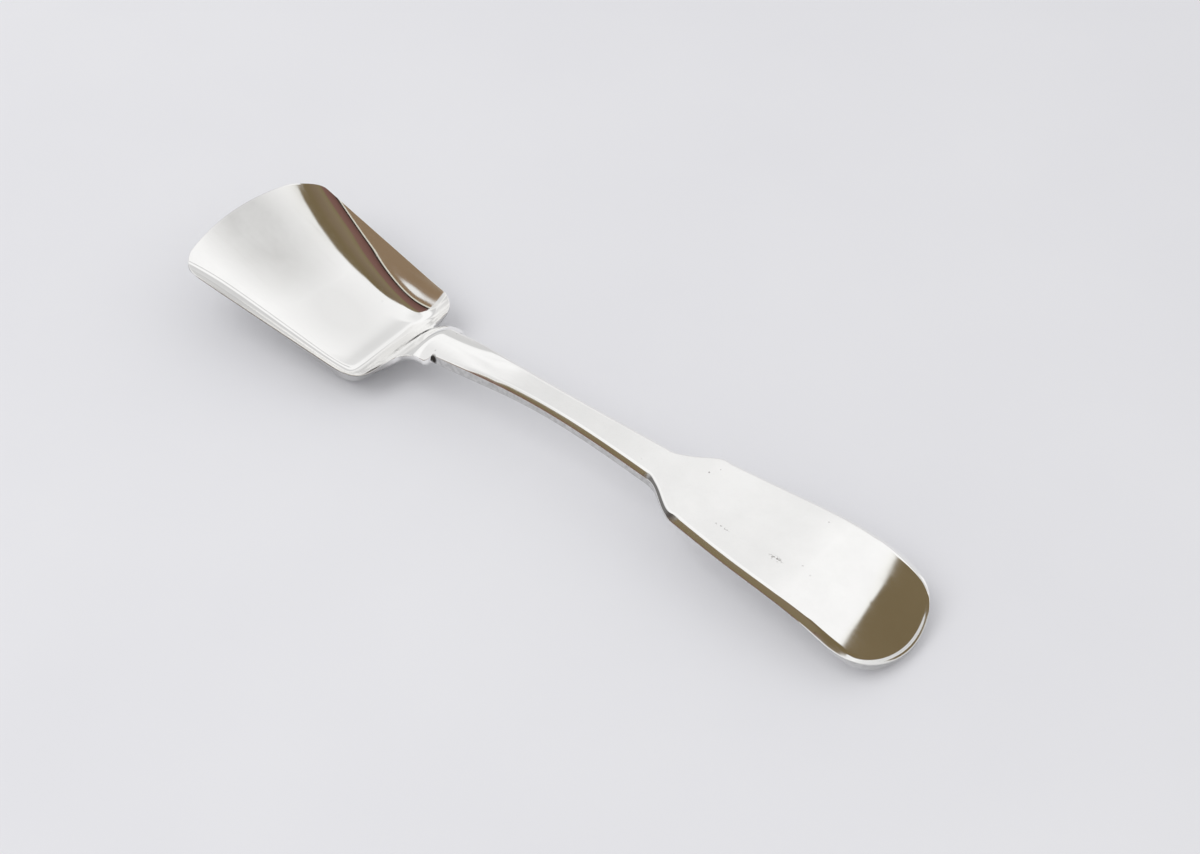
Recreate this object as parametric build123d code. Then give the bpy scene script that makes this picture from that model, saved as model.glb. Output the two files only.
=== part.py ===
# Sugar spoon with an open-fronted, shovel-shaped bowl and a fiddle-shaped handle.
# X runs from the bowl's lip to the handle's tip, Y across, and Z up from the table.
import os
from math import cos, pi, radians, sin, sqrt, tan

from build123d import *

os.makedirs("parts", exist_ok=True)

# Bowl, in millimetres
sheet = 0.9  # thickness of the bowl's floor
edge_sheet = 0.4  # thickness at the rim and lip
bowl_length = 36.8  # lip to the back corners
lip_width = 29.3  # across the lip's corners before rounding
back_width = 23.3  # across the back corners before rounding
lip_bow = 2.7  # the lip's middle ahead of its corners
back_bow = 0.6  # the back edge's middle behind its corners
lip_corner = 5.5  # corner radius at the lip
back_corner = 4.1  # corner radius at the back
lip_height = 12.6  # upper face at the lip's middle, above the table
rim_front = 12.7  # upper face of the side rims where they would reach the lip
rim_back = 5.0  # upper face at the back corners, above the table
heel_place = 31.0  # lip to the lowest part of the floor
heel_round = 6.0  # how gently the floor turns at the heel
wall_round = 6.0  # radius of the bend from the floor into the walls
wall_lean = 60.0  # steepest angle of the walls
least_wall = 0.3  # least height of the walls, ahead of the lip's corners
lip_thinning = 10.0  # length over which the floor thins to the lip
heel_wear = 0.05  # depth worn off flat under the heel
corner_power = 4.0  # how squarely the side and back walls meet

# Neck, where the bowl's metal climbs to the handle
neck_length = 8.2  # back corners to the joint
neck_width = 8.4  # across the neck where it leaves the bowl
neck_fillet = 2.2
neck_height = 10.0  # upper face at the joint, above the table
neck_crest = 1.5  # end of the climb, ahead of the joint
neck_slope = 0.07  # rise of the upper face at the joint
lug_width = 9.0  # across the rounded lugs at the joint
lug_round = 0.9
neck_crown = 1.5  # the lugs below the middle of the neck

# Soldered scarf joint between the bowl's neck and the handle's root
solder_gap = 0.2
scarf_angle = 55.0  # slope of the joint's faces
scarf_width = 5.0
keel = 1.45  # metal added under the middle of the neck
keel_length = 9.0  # joint to where the keel fades out

# Handle
stem_length = 41.0  # joint to the shoulders
shoulder_length = 7.5
blade_length = 36.5  # shoulders to the tip
stem_root_width = 6.5
stem_waist_width = 5.4
stem_waist_place = 16.0  # joint to the narrowest place
stem_end_width = 6.9
stem_flare = 2.0  # how fast the stem widens at the shoulders, as a multiple of its mean rate
blade_start_width = 14.8
blade_width = 20.15
blade_flare = 1.25  # how fast the blade widens at the shoulders, as a multiple of its mean rate
blade_widest = 11.0  # widest place, back from the tip
tip_round_width = 18.2
tip_round_place = 3.9  # place of that width, back from the tip
arch_height = 10.7  # upper face at the top of the arch
arch_place = 19.0  # joint to the top of the arch
shoulder_height = 9.5
blade_height = 8.55  # upper face in the middle of the blade
blade_place = 14.0  # that middle, ahead of the widest place
bend_height = 7.2  # upper face where the end starts to turn down
tip_height = 1.75  # upper face at the tip, above the table
tip_slope = 0.75  # how steeply the end turns down
stem_thickness = 1.8
blade_thickness = 1.5
top_bevel = 0.7
under_bevel = 0.4

# Angles and places that follow from the sizes
lean = radians(wall_lean)
bend_rise = wall_round * (1 - cos(lean))
bend_width = wall_round * sin(lean)
scarf = radians(scarf_angle)
joint_x = bowl_length + neck_length
stem_x = joint_x + solder_gap / sin(scarf)
shoulder_x = joint_x + stem_length
blade_x = shoulder_x + shoulder_length
tip_x = blade_x + blade_length
bend_x = tip_x - blade_widest
keel_x = joint_x - keel_length

# Blank blocks that the outlines are cut from
margin = 1.0
tall = 60.0
length_rows = 28
side_rows = 28
slope_step = 0.01  # step over which slopes are measured
same_place = 1e-6  # distance under which two corners are one
facing = 0.5  # least upright share of a broad face's normal


def smooth(value):
    """Ease from 0 to 1 as the value runs from 0 to 1."""
    t = min(max(value, 0.0), 1.0)
    return t * t * (3 - 2 * t)


def floor_height(x):
    """Upper face of the bowl's floor along its middle."""
    reach = sqrt(heel_place**2 + heel_round**2) - heel_round
    steepness = (lip_height - sheet) / reach
    ahead = max(heel_place - x, 0.0)
    return sheet - heel_wear + steepness * (sqrt(ahead**2 + heel_round**2) - heel_round)


def rim_line(x):
    """Upper face of the side rims, which run straight from lip to back."""
    return rim_front + (rim_back - rim_front) * x / bowl_length


def wall_width(height):
    """Plan width of a wall of that height: an arc, then straight."""
    straight = max(height - bend_rise, 0.0)
    bent = min(height, bend_rise)
    return sqrt(wall_round**2 - (wall_round - bent) ** 2) + straight / tan(lean)


def wall_rise(out):
    """Rise of a wall at a distance out from its foot."""
    straight = max(out - bend_width, 0.0)
    bent = min(out, bend_width)
    return wall_round - sqrt(wall_round**2 - bent**2) + straight * tan(lean)


def half_width(x):
    """Half of the bowl's width, which tapers from lip to back."""
    return (lip_width + (back_width - lip_width) * (x - lip_bow) / (bowl_length - lip_bow)) / 2


def wall_place(x, y):
    """How far out a point lies from the foot of the walls, and the walls' width there."""
    width = wall_width(max(rim_line(x) - floor_height(x), least_wall))
    from_side = max(width - (half_width(x) - abs(y)), 0.0)
    from_back = max(width - (bowl_length - x), 0.0)
    out = (from_side**corner_power + from_back**corner_power) ** (1 / corner_power)
    return min(out, width + margin), width


def off_neck(y):
    """Ease from 0 across the neck to 1 at the bowl's back corners."""
    return smooth((abs(y) - lug_width / 2) / (back_width / 2 - lug_width / 2))


def crown(y):
    """Drop of the neck's upper face from its middle towards its lugs."""
    return neck_crown * min(2 * abs(y) / lug_width, 1) ** 2


def upper_face(x, y):
    """Upper face of the bowl with the crowned ramp that climbs into the neck."""
    base = floor_height(x)
    dish = base + wall_rise(wall_place(x, y)[0])
    climb = smooth((x - heel_place) / (joint_x - neck_crest - heel_place))
    crest = neck_height + neck_slope * (x - joint_x)
    ramp = base + (crest - base) * climb - crown(y) * climb**2
    return ramp + (dish - ramp) * off_neck(y)


def metal(x, y):
    """Thickness of the bowl, which thins to its rim and lip and deepens at the neck."""
    out, width = wall_place(x, y)
    outward = smooth(out / width) * off_neck(y)
    thin = max(outward, 1 - smooth(x / lip_thinning))
    off_keel = smooth((2 * abs(y) - scarf_width) / (lug_width - scarf_width))
    deepening = smooth((x - keel_x) / keel_length) * (1 - off_keel)
    return sheet + (edge_sheet - sheet) * thin + max(keel - crown(y), 0) * deepening


def lower_face(x, y):
    """Lower face of the bowl, square below the upper face by the metal's thickness."""
    along = (upper_face(x + slope_step, y) - upper_face(x - slope_step, y)) / 2 / slope_step
    across = (upper_face(x, y + slope_step) - upper_face(x, y - slope_step)) / 2 / slope_step
    return upper_face(x, y) - metal(x, y) * sqrt(1 + along**2 + across**2)


def raised_sheet():
    """Blank of the bowl and its neck, larger than the outline that is cut from it."""
    x_end = stem_x + margin
    shares = [sin(pi / 2 * (2 * j / side_rows - 1)) for j in range(side_rows + 1)]
    sections = []
    for i in range(length_rows + 1):
        x = -margin + (x_end + margin) * i / length_rows
        ys = [(half_width(x) + margin) * share for share in shares]
        top = [Vector(x, y, upper_face(x, y)) for y in ys]
        low = [Vector(x, y, lower_face(x, y)) for y in reversed(ys)]
        edges = [Edge.make_spline(top), Edge.make_line(top[-1], low[0])]
        edges += [Edge.make_spline(low), Edge.make_line(low[-1], top[0])]
        sections.append(Wire(edges))
    return Solid.make_loft(sections)


def prism(outline):
    """Upright block on a plan outline, tall enough to cut the whole spoon."""
    return extrude(Pos(0, 0, -tall / 2) * outline, tall)


def bowl_outline():
    """Plan of the bowl and its neck, with rounded corners and lugs."""
    neck_x = bowl_length + back_bow
    corners = [
        (lip_bow, lip_width / 2, lip_corner),
        (bowl_length, back_width / 2, back_corner),
        (neck_x, neck_width / 2, neck_fillet),
        (joint_x, lug_width / 2, lug_round),
    ]
    far = [(x, y) for x, y, _ in corners]
    near = [(x, -y) for x, y in far]
    lip = ThreePointArc(near[0], (0, 0), far[0])
    edge = Polyline(*far, *reversed(near))
    face = make_face([lip, edge])
    for x, y, radius in corners:
        spots = [v for v in face.vertices() if abs(v.X - x) + abs(abs(v.Y) - y) < same_place]
        face = fillet(spots, radius)
    return face


def under_scarf(drop):
    """Wedge under the joint's sloping face, in the strip that the scarf takes up."""
    slope = Plane((joint_x, 0, neck_height), x_dir=(0, 1, 0), z_dir=(sin(scarf), 0, -cos(scarf)))
    deep = Pos(0, 0, drop + tall / 2) * Box(scarf_width, tall, tall)
    return slope * deep


def make_bowl(blank):
    """Bowl raised from sheet, cut to its outline, scarfed and worn flat under the heel."""
    above_table = Pos(joint_x / 2, 0, tall / 2) * Box(tall * 2, tall, tall)
    return blank & prism(bowl_outline()) & above_table - under_scarf(0)


def root_strip(blank):
    """Strip of the blank that the joint takes up, as far as the stem."""
    long = stem_x - keel_x
    return blank & Pos(keel_x + long / 2, 0, 0) * Box(long, scarf_width, tall)


def make_solder(strip):
    """Hard solder between the two sloping faces of the joint."""
    return strip & under_scarf(0) - under_scarf(solder_gap)


def side_profile():
    """Side view of the handle, arched and turned down at its end."""
    root_z = upper_face(stem_x, 0)
    root_low = lower_face(stem_x, 0)
    arch_x = joint_x + arch_place
    shoulder_mid = (shoulder_x + blade_x) / 2
    tip_low = -under_bevel * tip_slope / sqrt(1 + tip_slope**2)
    blade_mid = bend_x - blade_place
    top = Spline((stem_x, root_z), (arch_x, arch_height), (shoulder_mid, shoulder_height),
                 (blade_mid, blade_height), (bend_x, bend_height), (tip_x, tip_height),
                 tangents=[(1, neck_slope), (1, -tip_slope)])
    low = Spline((stem_x, root_low), (arch_x, arch_height - stem_thickness),
                 (shoulder_mid, shoulder_height - stem_thickness),
                 (blade_mid, blade_height - blade_thickness),
                 (bend_x, bend_height - blade_thickness), (tip_x, tip_low),
                 tangents=[(1, neck_slope), (1, -tip_slope)])
    root = Line((stem_x, root_z), (stem_x, root_low))
    end = Line((tip_x, tip_height), (tip_x, tip_low))
    return Plane.XZ * make_face([top, low, root, end])


def handle_outline():
    """Plan of the handle: slender stem, rounded shoulders and a widening blade."""
    waist_x = joint_x + stem_waist_place
    stem_way = (1, (stem_end_width - stem_waist_width) / 2 / (shoulder_x - waist_x) * stem_flare)
    blade_way = (1, (blade_width - blade_start_width) / 2 / (bend_x - blade_x) * blade_flare)
    stem = Spline((stem_x, stem_root_width / 2), (waist_x, stem_waist_width / 2),
                  (shoulder_x, stem_end_width / 2), tangents=[(1, 0), stem_way])
    shoulder = Spline((shoulder_x, stem_end_width / 2), (blade_x, blade_start_width / 2),
                      tangents=[stem_way, blade_way])
    blade = Spline((blade_x, blade_start_width / 2), (bend_x, blade_width / 2),
                   (tip_x - tip_round_place, tip_round_width / 2), (tip_x, 0),
                   tangents=[blade_way, (0, -1)])
    far = [stem, shoulder, blade]
    near = [mirror(edge, about=Plane.XZ) for edge in far]
    root = Line((stem_x, -stem_root_width / 2), (stem_x, stem_root_width / 2))
    return make_face([root] + far + near)


def make_handle(strip):
    """Forged handle with bevelled edges, and its root scarfed to lie under the neck."""
    side = extrude(side_profile(), blade_width, both=True)
    body = side & prism(handle_outline())
    for way, bevel in ((1, top_bevel), (-1, under_bevel)):
        broad = body.faces().filter_by(lambda f: f.normal_at(None).Z * way > facing)
        edges = broad.sort_by(SortBy.AREA)[-1].edges()
        body = chamfer([e for e in edges if e.center().X > stem_x + margin], bevel)
    return body + (strip & under_scarf(solder_gap))


blank = raised_sheet()
strip = root_strip(blank)
pieces = {"bowl": make_bowl(blank), "solder_seam": make_solder(strip), "handle": make_handle(strip)}
for name, piece in pieces.items():
    export_step(Pos(-tip_x / 2, 0, 0) * piece, f"parts/{name}.step")
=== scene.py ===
# Looks of the sugar spoon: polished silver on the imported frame, on a pale table in soft light.
from math import atan2, cos, pi, radians, sin, sqrt, tan

import bmesh
import bpy
import numpy as np
from mathutils import Matrix, Vector


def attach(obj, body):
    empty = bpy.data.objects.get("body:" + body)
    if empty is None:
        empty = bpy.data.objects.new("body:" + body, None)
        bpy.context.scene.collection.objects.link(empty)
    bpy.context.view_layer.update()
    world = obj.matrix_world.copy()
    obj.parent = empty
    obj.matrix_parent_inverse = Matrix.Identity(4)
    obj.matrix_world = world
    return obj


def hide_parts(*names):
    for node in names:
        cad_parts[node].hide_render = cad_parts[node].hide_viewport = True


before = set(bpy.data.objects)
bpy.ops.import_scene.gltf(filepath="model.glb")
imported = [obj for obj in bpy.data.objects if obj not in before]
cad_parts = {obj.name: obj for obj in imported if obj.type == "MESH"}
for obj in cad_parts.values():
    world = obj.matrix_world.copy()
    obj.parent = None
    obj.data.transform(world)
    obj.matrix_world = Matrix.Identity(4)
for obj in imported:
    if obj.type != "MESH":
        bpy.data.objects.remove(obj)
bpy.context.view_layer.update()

# Sizes in millimetres, as the solids have them, with X from the bowl's lip
MM = 0.001
sheet = 0.9
edge_sheet = 0.4
bowl_length = 36.8
lip_width = 29.3
back_width = 23.3
lip_bow = 2.7
back_bow = 0.6
lip_corner = 5.5
back_corner = 4.1
lip_height = 12.6
rim_front = 12.7
rim_back = 5.0
heel_place = 31.0
heel_round = 6.0
wall_round = 6.0
least_wall = 0.3
lip_thinning = 10.0
heel_wear = 0.05
corner_power = 4.0
neck_length = 8.2
neck_width = 8.4
neck_fillet = 2.2
neck_height = 10.0
neck_crest = 1.5
neck_slope = 0.07
lug_width = 9.0
lug_round = 0.9
neck_crown = 1.5
solder_gap = 0.2
scarf_angle = 55.0
scarf_width = 5.0
keel = 1.45
keel_length = 9.0
stem_length = 41.0
shoulder_length = 7.5
blade_length = 36.5
stem_root_width = 6.5
stem_waist_width = 5.4
stem_waist_place = 16.0
stem_end_width = 6.9
stem_flare = 2.0
blade_start_width = 14.8
blade_width = 20.15
blade_flare = 1.25
blade_widest = 11.0
tip_round_width = 18.2
tip_round_place = 3.9
arch_height = 10.7
arch_place = 19.0
shoulder_height = 9.5
blade_height = 8.55
blade_place = 14.0
bend_height = 7.2
tip_height = 1.75
tip_slope = 0.75
stem_thickness = 1.8
blade_thickness = 1.5
under_bevel = 0.4

# Finer shapes of the polished surface, in millimetres
wall_lean = 55.0  # degrees, a little more open than the solid's
rim_round = 0.12  # how far the rim's rounded edge stands out
rim_share = 0.3  # upright height left at the rim, as a share of the cut edge
floor_dish = 0.4  # how far the floor's middle is worn hollow
dish_start = 14.0  # from the lip, where that hollow starts to fade
dish_run = 20.0  # length over which it fades
stem_bevel = 0.75
blade_bevel = 0.95
bevel_fall = 0.7  # fall of the bevels, as a share of their width
bevel_run = 12.0  # joint to where the stem's bevel reaches its full width
shoulder_bevel = 0.55  # width of the bevel where the shoulders turn, as a share
shoulder_turn = 0.5  # backward lean of the outline at which that width is reached
tip_bevel = 0.4  # width of the bevel round the tip, as a share
tip_turn = 0.7  # forward lean of the outline at which that width is reached
root_bevel = 0.2  # width of the bevel at the joint, as a share of its full width
ease_width = 0.28  # soft strip beside the bevels
ease_drop = 0.045
stem_under = 0.12  # rounding under the stem's sides
crown_run = 14.0  # length over which the neck's crown fades along the stem
joint_lift = 0.03  # handle above the solder at the joint
tip_dish = 0.3  # hollow across the turned-down end
tip_dish_start = 17.0  # back from the tip, where that hollow starts
tip_dish_run = 9.0  # length over which it deepens
edge_round = 0.14  # how far back the worn edges of the handle are rounded
sharp_angle = 35.0  # turn of the surface, in degrees, from which an edge is crisp
fan_start = 13.0  # back from the tip, where the mesh's rows start to fan out
fan_end = 7.0  # back from the tip, where they meet the middle

# Angles and places that follow from the sizes
lean = radians(wall_lean)
scarf = radians(scarf_angle)
bend_rise = wall_round * (1 - cos(lean))
bend_width = wall_round * sin(lean)
joint_x = bowl_length + neck_length
shoulder_x = joint_x + stem_length
blade_x = shoulder_x + shoulder_length
tip_x = blade_x + blade_length
bend_x = tip_x - blade_widest
keel_x = joint_x - keel_length
slope_step = 0.01  # step for slopes
least_gap = 0.02  # least thickness of metal
margin = 1.0  # how far the walls' formula runs past the rim


def smooth(value):
    """Ease from 0 to 1 as the value runs from 0 to 1."""
    t = np.clip(value, 0.0, 1.0)
    return t * t * (3 - 2 * t)


# The bowl's faces, as formulas of the place in plan

def floor_height(x):
    reach = sqrt(heel_place**2 + heel_round**2) - heel_round
    steepness = (lip_height - sheet) / reach
    ahead = np.maximum(heel_place - x, 0.0)
    return sheet - heel_wear + steepness * (np.sqrt(ahead**2 + heel_round**2) - heel_round)


def rim_line(x):
    return rim_front + (rim_back - rim_front) * x / bowl_length


def wall_width(height):
    straight = np.maximum(height - bend_rise, 0.0)
    bent = np.minimum(height, bend_rise)
    return np.sqrt(wall_round**2 - (wall_round - bent) ** 2) + straight / tan(lean)


def wall_rise(out):
    straight = np.maximum(out - bend_width, 0.0)
    bent = np.minimum(out, bend_width)
    return wall_round - np.sqrt(wall_round**2 - bent**2) + straight * tan(lean)


def half_width(x):
    return (lip_width + (back_width - lip_width) * (x - lip_bow) / (bowl_length - lip_bow)) / 2


def wall_place(x, y):
    """How far out a point lies from the foot of the walls, and the walls' width there."""
    width = wall_width(np.maximum(rim_line(x) - floor_height(x), least_wall))
    from_side = np.maximum(width - (half_width(x) - np.abs(y)), 0.0)
    from_back = np.maximum(width - (bowl_length - x), 0.0)
    out = (from_side**corner_power + from_back**corner_power) ** (1 / corner_power)
    return np.minimum(out, width + margin), width


def off_neck(y):
    return smooth((np.abs(y) - lug_width / 2) / (back_width / 2 - lug_width / 2))


def crown(y):
    return neck_crown * np.minimum(2 * np.abs(y) / lug_width, 1) ** 2


def worn_hollow(x, y):
    """Slight hollow in the floor's middle, which fades out towards the sides and the heel."""
    aside = np.clip(y / half_width(x), -1, 1)
    return floor_dish * (1 - aside**4) * (1 - smooth((x - dish_start) / dish_run))


def upper_face(x, y):
    base = floor_height(x)
    dish = base + wall_rise(wall_place(x, y)[0])
    climb = smooth((x - heel_place) / (joint_x - neck_crest - heel_place))
    crest = neck_height + neck_slope * (x - joint_x)
    ramp = base + (crest - base) * climb - crown(y) * climb**2
    return ramp + (dish - ramp) * off_neck(y)


def metal(x, y):
    out, width = wall_place(x, y)
    outward = smooth(out / width) * off_neck(y)
    thin = np.maximum(outward, 1 - smooth(x / lip_thinning))
    off_keel = smooth((2 * np.abs(y) - scarf_width) / (lug_width - scarf_width))
    deepening = smooth((x - keel_x) / keel_length) * (1 - off_keel)
    return sheet + (edge_sheet - sheet) * thin + np.maximum(keel - crown(y), 0) * deepening


def lower_face(x, y):
    along = (upper_face(x + slope_step, y) - upper_face(x - slope_step, y)) / 2 / slope_step
    across = (upper_face(x, y + slope_step) - upper_face(x, y - slope_step)) / 2 / slope_step
    return upper_face(x, y) - metal(x, y) * np.sqrt(1 + along**2 + across**2)


def scarf_face(x):
    return neck_height + (x - joint_x) * tan(scarf)


def bowl_underside(x, y):
    """Lower face, thinned to the rim, worn flat under the heel and cut by the scarf under the neck."""
    out, width = wall_place(x, y)
    at_rim = smooth(out / width * 3 - 2) * off_neck(y)
    top = upper_face(x, y)
    low = top - (top - lower_face(x, y)) * (1 - (1 - rim_share) * at_rim)
    low = np.maximum(low, 0.0)
    in_scarf = np.abs(y) <= scarf_width / 2
    return np.where(in_scarf, np.clip(scarf_face(x), low, top - least_gap), low)


# Outlines in plan

def arc(centre, radius, start, end, steps):
    angles = np.linspace(start, end, steps + 1)
    return np.column_stack([centre[0] + radius * np.cos(angles), centre[1] + radius * np.sin(angles)])


def arc_between(centre, first, last, steps):
    """Shorter arc round a centre from one point to another."""
    start = atan2(first[1] - centre[1], first[0] - centre[0])
    end = atan2(last[1] - centre[1], last[0] - centre[0])
    turn = (end - start + pi) % (2 * pi) - pi
    return arc(centre, np.linalg.norm(first - centre), start, start + turn, steps)


def unit(vector):
    return vector / np.linalg.norm(vector)


def round_corner(before, corner, after, radius, steps=24):
    """Arc that rounds a corner between two straight lines."""
    back = unit(before - corner)
    on = unit(after - corner)
    half = np.arccos(back @ on) / 2
    centre = corner + unit(back + on) * radius / sin(half)
    reach = radius / tan(half)
    return arc_between(centre, corner + back * reach, corner + on * reach, steps)


def lengths(points):
    return np.concatenate([[0.0], np.cumsum(np.linalg.norm(np.diff(points, axis=0), axis=1))])


def resample(points, count):
    """The same line with its points evenly spaced."""
    run = lengths(points)
    at = np.linspace(0, run[-1], count + 1)
    return np.column_stack([np.interp(at, run, points[:, k]) for k in range(2)])


def outward(points):
    """Normals of an open line, to the left of its run."""
    way = np.gradient(points, axis=0)
    way /= np.linalg.norm(way, axis=1)[:, None]
    return np.column_stack([-way[:, 1], way[:, 0]])


def half_bowl_outline():
    """Far half of the bowl's plan: the lip with its corner, then the side as far as the joint."""
    lip_radius = (lip_bow**2 + (lip_width / 2) ** 2) / (2 * lip_bow)
    lip_centre = np.array([lip_radius, 0.0])
    front = np.array([lip_bow, lip_width / 2])
    back = np.array([bowl_length, back_width / 2])
    neck = np.array([bowl_length + back_bow, neck_width / 2])
    lug = np.array([joint_x, lug_width / 2])
    end = np.array([joint_x, 0.0])
    side_way = unit(back - front)
    inward = np.array([side_way[1], -side_way[0]])
    start = front + inward * lip_corner - lip_centre
    along = start @ side_way
    slide = -along - sqrt(along**2 - start @ start + (lip_radius - lip_corner) ** 2)
    centre = lip_centre + start + side_way * slide
    on_lip = lip_centre + unit(centre - lip_centre) * lip_radius
    on_side = centre - inward * lip_corner
    lip_arc = arc_between(lip_centre, np.zeros(2), on_lip, 60)
    lip = np.vstack([lip_arc, arc_between(centre, on_lip, on_side, 40)[1:]])
    side = np.vstack([
        on_side[None],
        round_corner(front, back, neck, back_corner),
        round_corner(back, neck, lug, neck_fillet),
        round_corner(neck, lug, end, lug_round),
    ])
    return lip, side


def spline(points, start_way, end_way, steps):
    """Smooth line through points, leaving and arriving in the given directions."""
    points = np.array(points, float)
    knots = lengths(points)
    gaps = np.diff(knots)
    count = len(points)
    rows = np.eye(count)
    right = np.zeros((count, 2))
    right[0] = unit(np.array(start_way, float))
    right[-1] = unit(np.array(end_way, float))
    for i in range(1, count - 1):
        rows[i, i - 1] = 1 / gaps[i - 1]
        rows[i, i] = 2 / gaps[i - 1] + 2 / gaps[i]
        rows[i, i + 1] = 1 / gaps[i]
        before = (points[i] - points[i - 1]) / gaps[i - 1] ** 2
        after = (points[i + 1] - points[i]) / gaps[i] ** 2
        right[i] = 3 * (before + after)
    ways = np.linalg.solve(rows, right)
    line = [points[:1]]
    for i in range(count - 1):
        t = np.linspace(0, 1, steps + 1)[1:, None]
        line.append(
            (2 * t**3 - 3 * t**2 + 1) * points[i] + (t**3 - 2 * t**2 + t) * gaps[i] * ways[i]
            + (3 * t**2 - 2 * t**3) * points[i + 1] + (t**3 - t**2) * gaps[i] * ways[i + 1]
        )
    return np.vstack(line)


def half_handle_outline():
    """Far half of the handle's plan, from the joint to the tip."""
    waist_x = joint_x + stem_waist_place
    stem_way = (1, (stem_end_width - stem_waist_width) / 2 / (shoulder_x - waist_x) * stem_flare)
    blade_way = (1, (blade_width - blade_start_width) / 2 / (bend_x - blade_x) * blade_flare)
    stem = spline([(joint_x, stem_root_width / 2), (waist_x, stem_waist_width / 2),
                   (shoulder_x, stem_end_width / 2)], (1, 0), stem_way, 80)
    shoulder = spline([(shoulder_x, stem_end_width / 2), (blade_x, blade_start_width / 2)],
                      stem_way, blade_way, 60)
    blade = spline([(blade_x, blade_start_width / 2), (bend_x, blade_width / 2),
                    (tip_x - tip_round_place, tip_round_width / 2), (tip_x, 0)],
                   blade_way, (0, -1), 80)
    return np.vstack([stem, shoulder[1:], blade[1:]])


def handle_profiles():
    """Upper and lower lines of the handle's side view."""
    arch_x = joint_x + arch_place
    shoulder_mid = (shoulder_x + blade_x) / 2
    blade_mid = bend_x - blade_place
    root_low = float(lower_face(np.array(joint_x), np.array(0.0)))
    tip_low = -under_bevel * tip_slope / sqrt(1 + tip_slope**2)
    top = spline([(joint_x, neck_height), (arch_x, arch_height), (shoulder_mid, shoulder_height),
                  (blade_mid, blade_height), (bend_x, bend_height), (tip_x, tip_height)],
                 (1, neck_slope), (1, -tip_slope), 60)
    low = spline([(joint_x, root_low), (arch_x, arch_height - stem_thickness),
                  (shoulder_mid, shoulder_height - stem_thickness),
                  (blade_mid, blade_height - blade_thickness),
                  (bend_x, bend_height - blade_thickness), (tip_x, tip_low)],
                 (1, neck_slope), (1, -tip_slope), 60)
    return top, low


# Meshes

def new_piece(name, points, faces, material):
    """Smooth-shaded piece from points in millimetres, with X from the bowl's lip."""
    middle = np.array([tip_x / 2, 0.0, 0.0])
    mesh = bpy.data.meshes.new(name)
    mesh.from_pydata(((np.asarray(points) - middle) * MM).tolist(), [], faces)
    mesh.validate()
    mesh.shade_smooth()
    piece = bpy.data.objects.new(name, mesh)
    bpy.context.scene.collection.objects.link(piece)
    mesh.materials.append(material)
    return piece


def weld(piece, distance=1e-7):
    """Joins the points that lie on each other and turns all faces outwards."""
    work = bmesh.new()
    work.from_mesh(piece.data)
    bmesh.ops.remove_doubles(work, verts=work.verts, dist=distance)
    bmesh.ops.dissolve_degenerate(work, edges=work.edges, dist=distance)
    bmesh.ops.recalc_face_normals(work, faces=work.faces)
    work.to_mesh(piece.data)
    work.free()
    piece.data.set_sharp_from_angle(angle=radians(sharp_angle))


def grid_faces(rows, columns, start=0, turned=False):
    faces = []
    for i in range(rows - 1):
        for j in range(columns - 1):
            a = start + i * columns + j
            face = (a, a + 1, a + columns + 1, a + columns)
            faces.append(face[::-1] if turned else face)
    return faces


def patch(lip, side, across, along):
    """Plan grid of half the bowl, stretched between its outline and its middle line."""
    lip = resample(lip, across)
    side = resample(side, along)
    run = lengths(side)
    end = np.column_stack([np.full(across + 1, side[-1, 0]), np.linspace(0, side[-1, 1], across + 1)])
    turn = np.argmax(side[:, 0] > bowl_length - back_corner)
    inner = np.argmax(side[:, 1] < neck_width / 2 + neck_fillet)
    leave = np.argmax(side[:, 0] > bowl_length + back_bow + neck_fillet)
    # Rows from the corners of the side end at the heel, on the slope behind it and on the neck
    heel_row, slope_row, neck_row = heel_place - 4, heel_place + 5, bowl_length + 2.5
    middle_x = np.interp(run, [0, run[turn], run[inner], run[leave], run[-1]],
                         [lip[0, 0], heel_row, slope_row, neck_row, side[-1, 0]])
    middle = np.column_stack([middle_x, np.zeros(along + 1)])
    u = np.linspace(0, 1, across + 1)[None, :, None]
    v = (run / run[-1])[:, None, None]
    fade = (1 - v) ** 2
    rows = (1 - u) * middle[:, None] + u * side[:, None]
    lip_bend = lip[None] - ((1 - u) * lip[0] + u * lip[-1])
    end_bend = end[None] - ((1 - u) * end[0] + u * end[-1])
    return rows + fade * lip_bend + v**2 * end_bend


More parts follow.
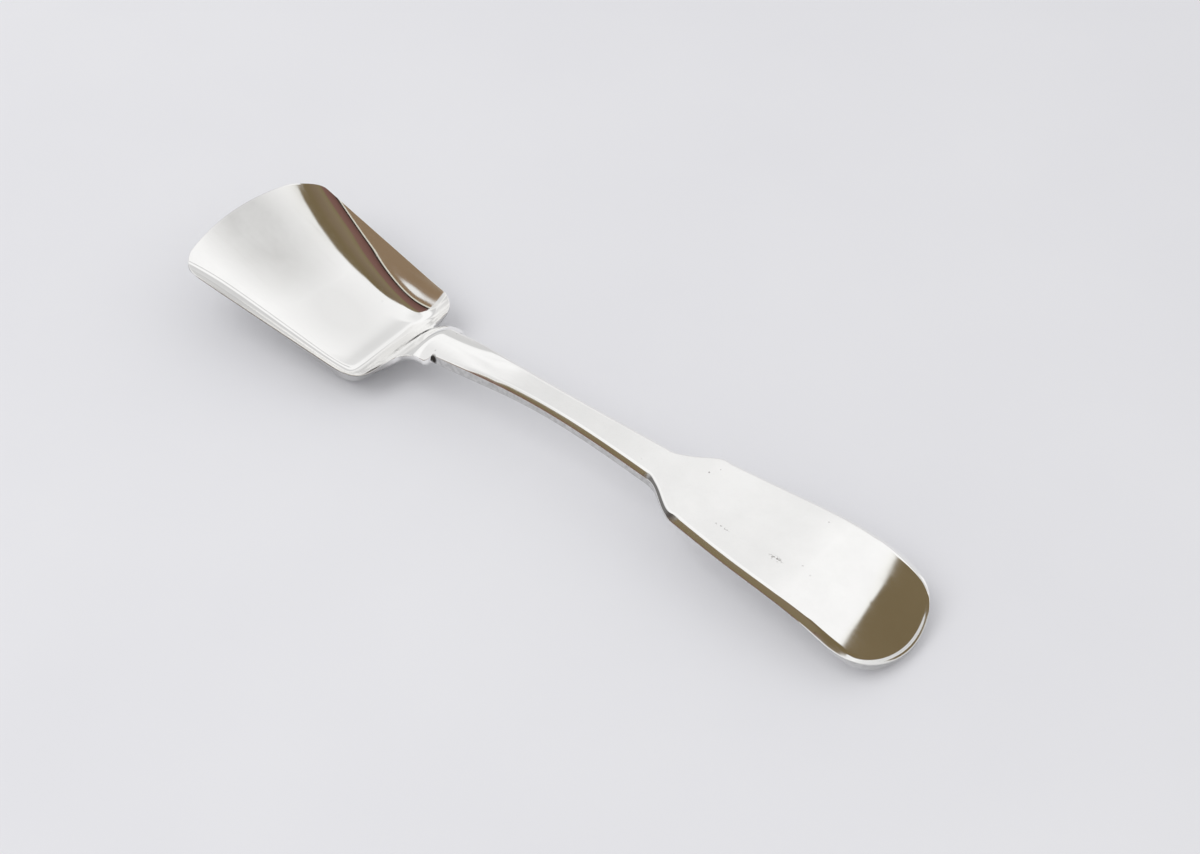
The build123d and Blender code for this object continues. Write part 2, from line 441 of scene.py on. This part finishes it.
def make_bowl(material):
    """Bowl with its neck: upper and lower faces joined by a rounded rim."""
    across, along, turns = 60, 220, 8
    lip, side = half_bowl_outline()
    whole = np.vstack([lip, side[1:]])
    inset = whole - outward(whole) * rim_round
    inset[0, 1] = 0.0
    inset[-1, 0] = joint_x
    half = patch(inset[:len(lip)], inset[len(lip) - 1:], across, along)
    plan = np.concatenate([half[:, :0:-1] * [1, -1], half], axis=1)
    rows, columns = plan.shape[:2]
    flat = plan.reshape(-1, 2)
    top = np.column_stack([flat, upper_face(*flat.T) - worn_hollow(*flat.T)])
    low = np.column_stack([flat, bowl_underside(*flat.T)])
    size = rows * columns
    faces = grid_faces(rows, columns) + grid_faces(rows, columns, size, True)
    index = np.arange(size).reshape(rows, columns)
    ring = np.concatenate([index[0], index[1:, -1], index[-1, -2::-1], index[-2:0:-1, 0]])
    edge = flat[ring]
    way = np.roll(edge, -1, axis=0) - np.roll(edge, 1, axis=0)
    way /= np.linalg.norm(way, axis=1)[:, None]
    out = np.column_stack([-way[:, 1], way[:, 0]])
    at_joint = (edge[:, 0] > joint_x - 1e-4)[:, None]
    out = np.where(at_joint, 0.0, out)
    strips = []
    for k in range(1, turns):
        angle = pi / 2 - pi * k / turns
        place = edge + out * rim_round * cos(angle)
        middle = (top[ring, 2] + low[ring, 2]) / 2
        reach = (top[ring, 2] - low[ring, 2]) / 2
        strips.append(np.column_stack([place, middle + reach * sin(angle)]))
    points = np.vstack([top, low] + strips)
    around = np.arange(len(ring))
    loops = [ring] + [2 * size + k * len(ring) + around for k in range(turns - 1)] + [ring + size]
    for upper, lower in zip(loops[:-1], loops[1:]):
        for a in range(len(ring)):
            b = (a + 1) % len(ring)
            faces.append((int(upper[a]), int(lower[a]), int(lower[b]), int(upper[b])))
    piece = new_piece("spoon_bowl", points, faces, material)
    weld(piece)
    return piece


def soften(before, corner, after, reach, steps=5):
    """Points of a worn corner in a section, as a short curve."""
    def towards(target):
        gap = target - corner
        size = np.maximum(np.linalg.norm(gap, axis=1), 1e-9)[:, None]
        return corner + gap / size * np.minimum(reach, 0.45 * size)
    first = towards(before)
    last = towards(after)
    curve = []
    for t in np.linspace(0, 1, steps):
        curve.append((1 - t) ** 2 * first + 2 * t * (1 - t) * corner + t**2 * last)
    return curve


def make_handle(material):
    """Handle: flat top, worn bevels, upright sides and a flat underside, in rows along its outline."""
    along = 320
    outline = resample(half_handle_outline(), along)
    out = outward(outline)
    out[0] = (0, 1)
    out[-1] = (1, 0)
    top_line, low_line = handle_profiles()
    x, y = outline.T

    def top_z(px, py):
        near_joint = 1 - smooth((px - joint_x) / crown_run)
        deepening = smooth((px - tip_x + tip_dish_start) / tip_dish_run)
        hollow = tip_dish * (1 - (2 * py / blade_width) ** 2) * deepening
        height = np.interp(px, top_line[:, 0], top_line[:, 1])
        return height + (joint_lift - crown(py)) * near_joint - hollow

    def low_z(px):
        return np.interp(px, low_line[:, 0], low_line[:, 1])

    # Middle line that the rows start from, fanned out inside the tip
    fan_x = tip_x - fan_start
    run = lengths(outline)
    fan_from = run[np.argmax(x > fan_x)]
    fan_run = run[-1] - fan_from
    fan_depth = fan_start - fan_end
    fan_share = np.clip((run - fan_from) / fan_run, 0, 1)
    fan = fan_x + fan_depth * (1 - (1 - fan_share) ** (fan_run / fan_depth))
    middle = np.column_stack([np.where(fan_share > 0, fan, x), 0 * y])

    # Section corners as distance in from the outline and height
    blade_share = smooth((x - shoulder_x) / shoulder_length)
    root_share = smooth((x - joint_x) / bevel_run)
    bevel = stem_bevel + (blade_bevel - stem_bevel) * blade_share
    bevel = bevel * (root_bevel + (1 - root_bevel) * root_share)
    bevel = bevel * (1 + (shoulder_bevel - 1) * smooth(-out[:, 0] / shoulder_turn))
    bevel = bevel * (1 + (tip_bevel - 1) * smooth(out[:, 0] / tip_turn))
    ease = bevel + ease_width
    eased = outline - out * ease[:, None]
    inner = outline - out * bevel[:, None]
    flat_z = top_z(*eased.T)
    top_inside = top_z(*(eased - out).T)
    bevel_z = top_z(*inner.T) - ease_drop * root_share
    shoulder = bevel_z - bevel * bevel_fall
    under_width = stem_under + (under_bevel - stem_under) * blade_share
    foot = outline - out * under_width[:, None]
    under = low_z(foot[:, 0])
    under_inside = low_z((foot - out)[:, 0])
    heel = under + stem_under + (shoulder - under - 2 * stem_under) * blade_share
    zero = np.zeros_like(bevel)
    corners = [
        np.column_stack([ease + 1, top_inside]),
        np.column_stack([ease, flat_z]),
        np.column_stack([bevel, bevel_z]),
        np.column_stack([zero, shoulder]),
        np.column_stack([zero, heel]),
        np.column_stack([under_width, under]),
        np.column_stack([under_width + 1, under_inside]),
    ]
    rings = []
    for before, corner, after in zip(corners[:-2], corners[1:-1], corners[2:]):
        rings += soften(before, corner, after, edge_round)
    ring_points = [np.column_stack([outline - out * ring[:, :1], ring[:, 1]]) for ring in rings]

    # Rows from the middle of the top, round the edge, to the middle of the underside
    shares = np.concatenate([np.linspace(0, 0.96, 17), [0.985]])
    columns = []
    first, last = ring_points[0][:, :2], ring_points[-1][:, :2]
    for share in shares:
        plan = middle + (first - middle) * share
        columns.append(np.column_stack([plan, top_z(plan[:, 0], plan[:, 1])]))
    columns += ring_points
    for share in shares[::-1]:
        plan = middle + (last - middle) * share
        columns.append(np.column_stack([plan, low_z(plan[:, 0])]))
    far = np.stack(columns, axis=1)
    near = far[:, ::-1] * [1, -1, 1]
    loop = np.concatenate([far, near], axis=1)
    rows, around = loop.shape[:2]
    faces = grid_faces(rows, around)
    for start in range(0, (rows - 1) * around, around):
        faces.append((start, start + around, start + 2 * around - 1, start + around - 1))
    faces.append(tuple(range(around)))
    points = loop.reshape(-1, 3)
    root_points, root_faces = root_wedge(len(points))
    piece = new_piece("spoon_handle", np.vstack([points, root_points]), faces + root_faces, material)
    weld(piece)
    flat_first = piece.modifiers.new("flat_faces_first", "WEIGHTED_NORMAL")
    flat_first.weight = 100
    flat_first.keep_sharp = True
    return piece


def root_wedge(start):
    """Root of the handle under the neck, between the scarf's face and the underside."""
    across, along = 13, 13
    thin = solder_gap / cos(scarf)
    depth = float(neck_height - lower_face(np.array(joint_x), np.array(0.0)))
    reach = 0.9 * (depth - thin) / tan(scarf)
    x = np.linspace(joint_x - reach, joint_x, along)
    y = np.linspace(-scarf_width / 2, scarf_width / 2, across)
    px, py = [a.ravel() for a in np.meshgrid(x, y, indexing="ij")]
    low = lower_face(px, py)
    high = np.maximum(scarf_face(px) - thin, low + least_gap / 2)
    points = np.vstack([np.column_stack([px, py, high]), np.column_stack([px, py, low])])
    size = across * along
    faces = grid_faces(along, across, start) + grid_faces(along, across, start + size, True)
    index = np.arange(size).reshape(along, across)
    ring = np.concatenate([index[0], index[1:, -1], index[-1, -2::-1], index[-2:0:-1, 0]])
    for a, b in zip(ring, np.roll(ring, -1)):
        faces.append((start + int(a), start + size + int(a), start + size + int(b), start + int(b)))
    return points, faces


# Materials

silver_tint = (0.955, 0.95, 0.94)
solder_tint = (0.88, 0.86, 0.81)
pit_colour = (0.2, 0.18, 0.165)
# colour of the painted dark places: shade and dark reflections painted into the silver
painted_dark_colour = (0.03, 0.025, 0.02)
silver_polish = 0.05  # roughness where the polish is best
solder_polish = 0.14
# on the bowl's outside this darkening is painted shade; on its floor it is wear
bowl_dimmed_and_shaded = 0.66  # brightness that is left on the bowl's dull places
# on the handle's upright sides the darkening is partly painted shade
sides_dimmed_and_shaded = 0.5  # the same on the handle's upright sides

# Worn places, marks, and places of painted shade and painted reflection: centres and half sizes in metres,
# from the frame's origin
front_wear = ((-0.0605, 0.001, 0.0115), (0.021, 0.0105, 0.03))
back_wear = ((-0.043, 0.0005, 0.005), (0.015, 0.0095, 0.03))
wear_core = 0.3
# painted shade in the notches beside the joint
joint_shade_place = (0.0034, 0.0086)  # to each side, and up
joint_shade_size = (0.0007, 0.0008, 0.0011)
joint_shade_core = 0.5
# painted dark reflection along the near shoulder's bevel
shoulder_reflection_size = (0.0052, 0.0048, 0.003)
shoulder_reflection_core = 0.75
blade_marks = [
    ((0.0442, -0.0037, 0.0083), (0.0014, 0.0006, 0.003)),
    ((0.035, -0.0039, 0.009), (0.0017, 0.0002, 0.003)),
]
mark_core = 0.2


class Nodes:
    """Short way to add and join nodes of one material or world."""

    def __init__(self, tree):
        self.tree = tree
        tree.nodes.clear()

    def add(self, kind, links=None, **values):
        node = self.tree.nodes.new(kind)
        for name, value in values.items():
            setattr(node, name, value)
        for socket, source in (links or {}).items():
            self.plug(node.inputs[socket], source)
        return node

    def plug(self, socket, source):
        """Links a socket to another node's output, or sets its own value."""
        if hasattr(source, "links"):
            self.tree.links.new(source, socket)
        else:
            socket.default_value = source

    def math(self, operation, a, b=0.0):
        return self.add("ShaderNodeMath", {0: a, 1: b}, operation=operation).outputs[0]

    def scale(self, value, factor, offset):
        sockets = {0: value, 1: factor, 2: offset}
        return self.add("ShaderNodeMath", sockets, operation="MULTIPLY_ADD").outputs[0]

    def ramp(self, value, stops):
        node = self.add("ShaderNodeValToRGB", {0: value})
        elements = node.color_ramp.elements
        elements[0].position, elements[0].color = stops[0][0], (*stops[0][1], 1)
        elements[1].position, elements[1].color = stops[-1][0], (*stops[-1][1], 1)
        for place, colour in stops[1:-1]:
            elements.new(place).color = (*colour, 1)
        return node.outputs[0]

    def levels(self, value, stops):
        """Ramp through greys, for a share that follows a value."""
        return self.ramp(value, [(place, grey(level)) for place, level in stops])

    def mix(self, share, a, b):
        """Colour a where the share is 0 and b where it is 1."""
        node = self.add("ShaderNodeMix", data_type="RGBA")
        self.plug(node.inputs[0], share)
        for socket, source in ((6, a), (7, b)):
            self.plug(node.inputs[socket], source if hasattr(source, "links") else (*source, 1))
        return node.outputs[2]


def grey(level):
    return (level, level, level)


def scratch_lines(nodes, place, turn, scale, stretch):
    """Fine straight scratches in one direction, 1 on a scratch and 0 between."""
    turned = nodes.add("ShaderNodeMapping", {"Vector": place, "Rotation": (0, 0, turn),
                                             "Scale": (scale, scale * stretch, scale)})
    noise = nodes.add("ShaderNodeTexNoise", {"Vector": turned.outputs[0], "Scale": 1.0, "Detail": 2.0,
                                             "Roughness": 0.6})
    return nodes.levels(noise.outputs["Fac"], [(0.60, 0), (0.70, 1)])


def soft_spot(nodes, place, centre, size, core):
    """Blurred oval, placed in metres: 1 in its core, a share of its size, and 0 outside."""
    away = nodes.add("ShaderNodeVectorMath", {0: place, 1: centre}, operation="SUBTRACT").outputs[0]
    away = nodes.add("ShaderNodeVectorMath", {0: away, 1: size}, operation="DIVIDE").outputs[0]
    far = nodes.add("ShaderNodeVectorMath", {0: away}, operation="LENGTH").outputs["Value"]
    return nodes.levels(nodes.math("MULTIPLY", far, 0.5), [(core / 2, 1), (0.5, 0)])


def joint_painted_shade(nodes, place):
    """Painted shade in the corners beside the joint, where the notch lies in shade."""
    x = (joint_x + 0.35 - tip_x / 2) * MM
    aside, up = joint_shade_place
    spots = [soft_spot(nodes, place, (x, side * aside, up), joint_shade_size, joint_shade_core)
             for side in (-1, 1)]
    return nodes.math("MAXIMUM", *spots)


def handle_painted_shade_and_reflection(nodes, place):
    """Painted shade at the joint, and a painted dark reflection along the near shoulder's bevel."""
    middle = ((shoulder_x + blade_x - tip_x) / 2 * MM, -(stem_end_width + blade_start_width) / 4 * MM,
              shoulder_height * MM)
    spot = soft_spot(nodes, place, middle, shoulder_reflection_size, shoulder_reflection_core)
    # the bevel's faces get the painted dark reflection
    bevel = nodes.levels(facing_up(nodes), [(0.6, 0), (0.7, 0.8), (0.88, 0.8), (0.93, 0)])
    return nodes.math("MAXIMUM", joint_painted_shade(nodes, place), nodes.math("MULTIPLY", spot, bevel))


def worn_floor_and_shaded_outside(nodes, place, cloud):
    """How far the bowl is dimmed: its floor, rubbed by spoonfuls, and its outside, which is darkened as
    painted shade.
    """
    spot = soft_spot(nodes, place, *front_wear, wear_core)
    behind = soft_spot(nodes, place, *back_wear, wear_core)
    spot = nodes.math("MAXIMUM", spot, nodes.math("MULTIPLY", behind, 0.5))
    spot = nodes.math("MULTIPLY", spot, nodes.levels(cloud, [(0.25, 0.75), (0.75, 1)]))
    # downward faces of the outside: darkened as painted shade
    outside = nodes.levels(nodes.scale(facing_up(nodes), 0.5, 0.5), [(0.4, 0.7), (0.5, 0)])
    return nodes.math("MAXIMUM", spot, outside)


def facing_up(nodes):
    """How far a face looks up: 1 for level faces, 0 for upright ones, -1 underneath."""
    normal = nodes.add("ShaderNodeNewGeometry").outputs["Normal"]
    return nodes.add("ShaderNodeSeparateXYZ", {0: normal}).outputs["Z"]


def rim_painted_shade_line(nodes, place):
    """Painted shade: a dark line along the bowl's upright edge, ahead of the neck."""
    # upright faces of the rim get the painted shade
    edge = nodes.levels(nodes.math("ABSOLUTE", facing_up(nodes)), [(0.3, 0.85), (0.45, 0)])
    along = nodes.add("ShaderNodeSeparateXYZ", {0: place}).outputs["X"]
    ahead = nodes.levels(nodes.scale(along, 10.0, 0.5), [(0.21, 1), (0.235, 0)])
    return nodes.math("MULTIPLY", edge, ahead)


def dim_and_shaded_sides(nodes, place, cloud):
    """How far the upright sides are dimmed, where the polish doesn't reach; this also darkens them as painted
    shade.
    """
    side = nodes.levels(nodes.math("ABSOLUTE", facing_up(nodes)), [(0.25, 1), (0.45, 0)])
    grain = nodes.add("ShaderNodeTexNoise", {"Vector": place, "Scale": 1500.0, "Detail": 3.0}).outputs["Fac"]
    return nodes.math("MULTIPLY", side, nodes.levels(grain, [(0.35, 0.6), (0.7, 1)]))


def silver(name, tint, polish, dulling_and_shade=None, dulled_and_shaded=1.0, paint_dark=joint_painted_shade, marks=()):
    """Hand-polished silver: soft waviness, fine scratches, dimmed places that are partly wear and partly
    painted shade, a few pits, and painted dark shade and reflections.
    """
    material = bpy.data.materials.new(name)
    material.use_nodes = True
    nodes = Nodes(material.node_tree)
    place = nodes.add("ShaderNodeTexCoord").outputs["Object"]
    cloud = nodes.add("ShaderNodeTexNoise", {"Vector": place, "Scale": 110.0, "Detail": 6.0,
                                             "Roughness": 0.65}).outputs["Fac"]
    speck = nodes.add("ShaderNodeTexVoronoi", {"Vector": place, "Scale": 520.0}).outputs["Distance"]
    ragged = nodes.add("ShaderNodeTexNoise", {"Vector": place, "Scale": 2600.0}).outputs["Fac"]
    speck = nodes.math("ADD", speck, nodes.math("MULTIPLY", ragged, 0.16))
    choice = nodes.add("ShaderNodeTexNoise", {"Vector": place, "Scale": 170.0, "Detail": 2.0}).outputs["Fac"]
    pit = nodes.math("MULTIPLY", nodes.levels(speck, [(0.12, 0.8), (0.19, 0)]),
                     nodes.levels(choice, [(0.62, 0), (0.70, 1)]))
    for centre, size in marks:
        spot = nodes.math("MULTIPLY", soft_spot(nodes, place, centre, size, mark_core),
                          nodes.levels(ragged, [(0.5, 0), (0.58, 0.75)]))
        pit = nodes.math("MAXIMUM", pit, spot)
    lines = nodes.math("MAXIMUM", scratch_lines(nodes, place, 0.35, 90.0, 30.0),
                       scratch_lines(nodes, place, -0.8, 120.0, 25.0))
    colour = nodes.ramp(cloud, [(0.36, tuple(c * 0.955 for c in tint)), (0.62, tint)])
    rough = nodes.add("ShaderNodeMapRange", {"Value": cloud, "From Min": 0.3, "From Max": 0.7,
                                             "To Min": polish, "To Max": polish + 0.04}).outputs[0]
    rough = nodes.math("ADD", rough, nodes.math("MULTIPLY", lines, 0.025))
    if dulling_and_shade:
        dull_and_shade = dulling_and_shade(nodes, place, cloud)
        colour = nodes.mix(dull_and_shade, colour, tuple(c * dulled_and_shaded for c in tint))
        rough = nodes.math("ADD", rough, nodes.math("MULTIPLY", dull_and_shade, 0.04))
    colour = nodes.mix(pit, colour, pit_colour)
    # Painted dark places: shade and dark reflections put into the colour
    dark = paint_dark(nodes, place)
    colour = nodes.mix(dark, colour, painted_dark_colour)
    rough = nodes.math("ADD", rough, nodes.math("MULTIPLY", dark, 0.4))
    wave = nodes.add("ShaderNodeTexNoise", {"Vector": place, "Scale": 120.0, "Detail": 1.0})
    waves = nodes.add("ShaderNodeBump", {"Height": wave.outputs["Fac"], "Strength": 0.04, "Distance": 0.0004})
    shader = nodes.add("ShaderNodeBsdfPrincipled", {"Base Color": colour, "Metallic": 1.0, "Roughness": rough,
                                                    "Normal": waves.outputs[0]})
    nodes.add("ShaderNodeOutputMaterial", {"Surface": shader.outputs[0]})
    return material


def table_paper():
    """Pale lavender-grey paper with a faint mottle."""
    material = bpy.data.materials.new("table_paper")
    material.use_nodes = True
    nodes = Nodes(material.node_tree)
    place = nodes.add("ShaderNodeTexCoord").outputs["Object"]
    cloud = nodes.add("ShaderNodeTexNoise", {"Vector": place, "Scale": 14.0, "Detail": 4.0})
    colour = nodes.ramp(cloud.outputs["Fac"], [(0.3, (0.775, 0.775, 0.795)), (0.7, (0.805, 0.805, 0.82))])
    shader = nodes.add("ShaderNodeBsdfPrincipled", {"Base Color": colour, "Roughness": 0.9})
    nodes.add("ShaderNodeOutputMaterial", {"Surface": shader.outputs[0]})
    return material


# Stage

def make_table():
    """Level sheet just under the spoon."""
    half, drop = 3.0, 0.00005
    mesh = bpy.data.meshes.new("table")
    corners = [(-half, -half), (half, -half), (half, half), (-half, half)]
    mesh.from_pydata([(x, y, -drop) for x, y in corners], [], [(0, 1, 2, 3)])
    mesh.materials.append(table_paper())
    table = bpy.data.objects.new("table", mesh)
    bpy.context.scene.collection.objects.link(table)


def make_world():
    """Surroundings: plain pale grey, but reflections see white screens and a warm dark room."""
    world = bpy.data.worlds.new("studio")
    bpy.context.scene.world = world
    world.use_nodes = True
    nodes = Nodes(world.node_tree)
    ray = nodes.add("ShaderNodeTexCoord").outputs["Generated"]
    parts = nodes.add("ShaderNodeSeparateXYZ", {0: ray})
    east, north, up = parts.outputs
    east_share = nodes.scale(east, 0.5, 0.5)
    north_share = nodes.scale(north, 0.5, 0.5)
    height = nodes.math("SUBTRACT", up, nodes.math("MULTIPLY", east, 0.18))

    # The curved edge between the studio and the room
    edge_north = nodes.levels(east_share, [
        (0.0, 0.15), (0.2, 0.2), (0.24, 0.262), (0.275, 0.292), (0.35, 0.325), (0.393, 0.39), (0.45, 0.5),
        (0.5025, 0.6), (0.525, 0.68), (0.545, 0.735), (0.6, 0.755), (0.638, 0.779), (0.663, 0.81),
        (0.72, 0.86), (1.0, 1.0),
    ])
    inside = nodes.math("SUBTRACT", north_share, edge_north)
    in_studio = nodes.levels(nodes.scale(inside, 1.0, 0.5), [(0.498, 0), (0.502, 1)])

    # The studio's white screens, dimmer low down and where level faces mirror them, with a few grey shades
    screens = nodes.levels(height, [
        (0.0, 1.0), (0.1, 1.0), (0.16, 0.7), (0.5, 0.66), (0.56, 1.0), (1.0, 1.0),
    ])
    dim = nodes.math("MULTIPLY", nodes.levels(east_share, [(0.2, 0), (0.24, 1), (0.29, 1), (0.4, 0)]),
                     nodes.levels(height, [(0.735, 0), (0.76, 1), (0.84, 1), (0.88, 0)]))
    screens = nodes.mix(dim, screens, grey(0.82))
    seam = nodes.math("MULTIPLY", nodes.levels(east_share, [(0.22, 0), (0.25, 1), (0.475, 1), (0.5, 0)]),
                      nodes.levels(height, [(0.655, 0), (0.668, 1), (0.682, 1), (0.697, 0)]))
    low_left = nodes.math("MULTIPLY", nodes.levels(east_share, [(0.14, 1), (0.2, 0)]),
                          nodes.levels(height, [(0.2, 1), (0.32, 0)]))
    high_left = nodes.math("MULTIPLY", nodes.levels(east_share, [(0.26, 1), (0.32, 0)]),
                           nodes.levels(height, [(0.76, 0), (0.83, 1)]))
    high_left = nodes.math("MULTIPLY", high_left, nodes.levels(north_share, [(0.5, 0.3), (0.7, 0)]))
    shades = nodes.math("MAXIMUM", seam, nodes.math("MAXIMUM", low_left, high_left))
    studio = nodes.mix(shades, screens, grey(0.5))
    glow = nodes.levels(inside, [(0.008, 1), (0.022, 0)])
    studio = nodes.mix(glow, studio, (1.0, 1.0, 0.97))

    # The room, olive above and reddish lower down, with a bright sill, a dark line above it and a plain end
    olive = (0.178, 0.134, 0.071)
    dark = (0.02, 0.015, 0.012)
    low_wall = (0.265, 0.185, 0.115)
    sill = (0.75, 0.73, 0.64)
    walls = nodes.ramp(height, [
        (0.0, dark), (0.14, dark), (0.17, low_wall), (0.405, low_wall), (0.413, sill), (0.457, sill),
        (0.467, dark), (0.51, dark), (0.53, (0.13, 0.065, 0.055)), (0.65, (0.18, 0.093, 0.078)),
        (0.77, (0.2, 0.11, 0.09)),
        (0.81, (0.205, 0.165, 0.09)), (0.87, (0.225, 0.175, 0.105)), (0.92, (0.215, 0.165, 0.105)),
        (0.97, (0.2, 0.15, 0.095)),
    ])
    plain = nodes.math("MAXIMUM", nodes.levels(north_share, [(0.35, 0), (0.5, 1)]),
                       nodes.levels(east_share, [(0.56, 0), (0.62, 1)]))
    room = nodes.mix(plain, walls, olive)

    # Behind the room's near edge the studio goes on, in soft neutral greys
    near_edge = nodes.levels(east_share, [
        (0.0, 1.0), (0.165, 1.0), (0.185, 0.0), (0.39, 0.0), (0.4, 0.025), (0.45, 0.15), (0.5, 0.175),
        (0.575, 0.2), (0.66, 0.225), (0.725, 0.28), (0.8, 0.4), (0.83, 1.0), (1.0, 1.0),
    ])
    beyond = nodes.math("SUBTRACT", north_share, near_edge)
    in_room = nodes.levels(nodes.scale(beyond, 1.0, 0.5), [(0.485, 0), (0.515, 1)])
    neutral = nodes.levels(height, [(0.0, 0.5), (0.25, 0.62), (0.55, 0.95), (0.8, 0.8), (1.0, 0.95)])
    room = nodes.mix(in_room, neutral, room)

    # Only reflections see this picture: other light and the backdrop are plain
    picture = nodes.mix(in_studio, room, studio)
    soft_light = (0.78, 0.78, 0.795)
    backdrop = (0.78, 0.78, 0.81)
    path = nodes.add("ShaderNodeLightPath")
    soft = nodes.mix(path.outputs["Is Glossy Ray"], soft_light, picture)
    shown = nodes.mix(path.outputs["Is Camera Ray"], soft, backdrop)
    background = nodes.add("ShaderNodeBackground", {"Color": shown, "Strength": 1.0})
    nodes.add("ShaderNodeOutputWorld", {"Surface": background.outputs[0]})


def make_lamp():
    """Large soft lamp above the table, for the shadows."""
    light = bpy.data.lights.new("overhead", "AREA")
    light.shape = "DISK"
    light.size = 0.7
    light.energy = 2.0
    lamp = bpy.data.objects.new("overhead", light)
    lamp.location = (-0.3, -0.4, 0.7)
    lamp.rotation_euler = (Vector((0, 0, 0)) - lamp.location).to_track_quat("-Z", "Y").to_euler()
    lamp.visible_glossy = False
    bpy.context.scene.collection.objects.link(lamp)


def make_camera():
    """Camera at the photograph's angle: 44 degrees up, seen from the near right."""
    rise, turn, distance = radians(44.0), radians(-50.9), 0.36236
    target = Vector((0.00338, 0.00801, 0.0))
    back = Vector((cos(rise) * cos(turn), cos(rise) * sin(turn), sin(rise)))
    right = Vector((0, 0, 1)).cross(back).normalized()
    up = back.cross(right)
    camera = bpy.data.cameras.new("camera")
    camera.lens = 72.0
    camera.sensor_width = 36.0
    camera.sensor_fit = "HORIZONTAL"
    holder = bpy.data.objects.new("camera", camera)
    turned = Matrix((right, up, back)).transposed()
    holder.matrix_world = Matrix.Translation(target + back * distance) @ turned.to_4x4()
    bpy.context.scene.collection.objects.link(holder)
    bpy.context.scene.camera = holder


# The object
bowl_metal = silver("bowl_silver", silver_tint, silver_polish, worn_floor_and_shaded_outside, bowl_dimmed_and_shaded, rim_painted_shade_line)
handle_metal = silver("handle_silver", silver_tint, silver_polish, dim_and_shaded_sides, sides_dimmed_and_shaded, handle_painted_shade_and_reflection,
                      blade_marks)
solder_metal = silver("hard_solder", solder_tint, solder_polish)

bowl = make_bowl(bowl_metal)
handle = make_handle(handle_metal)
for piece, node, slot in ((bowl, "bowl", "bowl_silver"), (handle, "handle", "handle_silver")):
    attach(piece, "root")
    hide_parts(node)
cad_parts["solder_seam"].material_slots[0].material = solder_metal

make_table()
make_world()
make_lamp()
make_camera()
bpy.context.scene.view_settings.view_transform = "Standard"
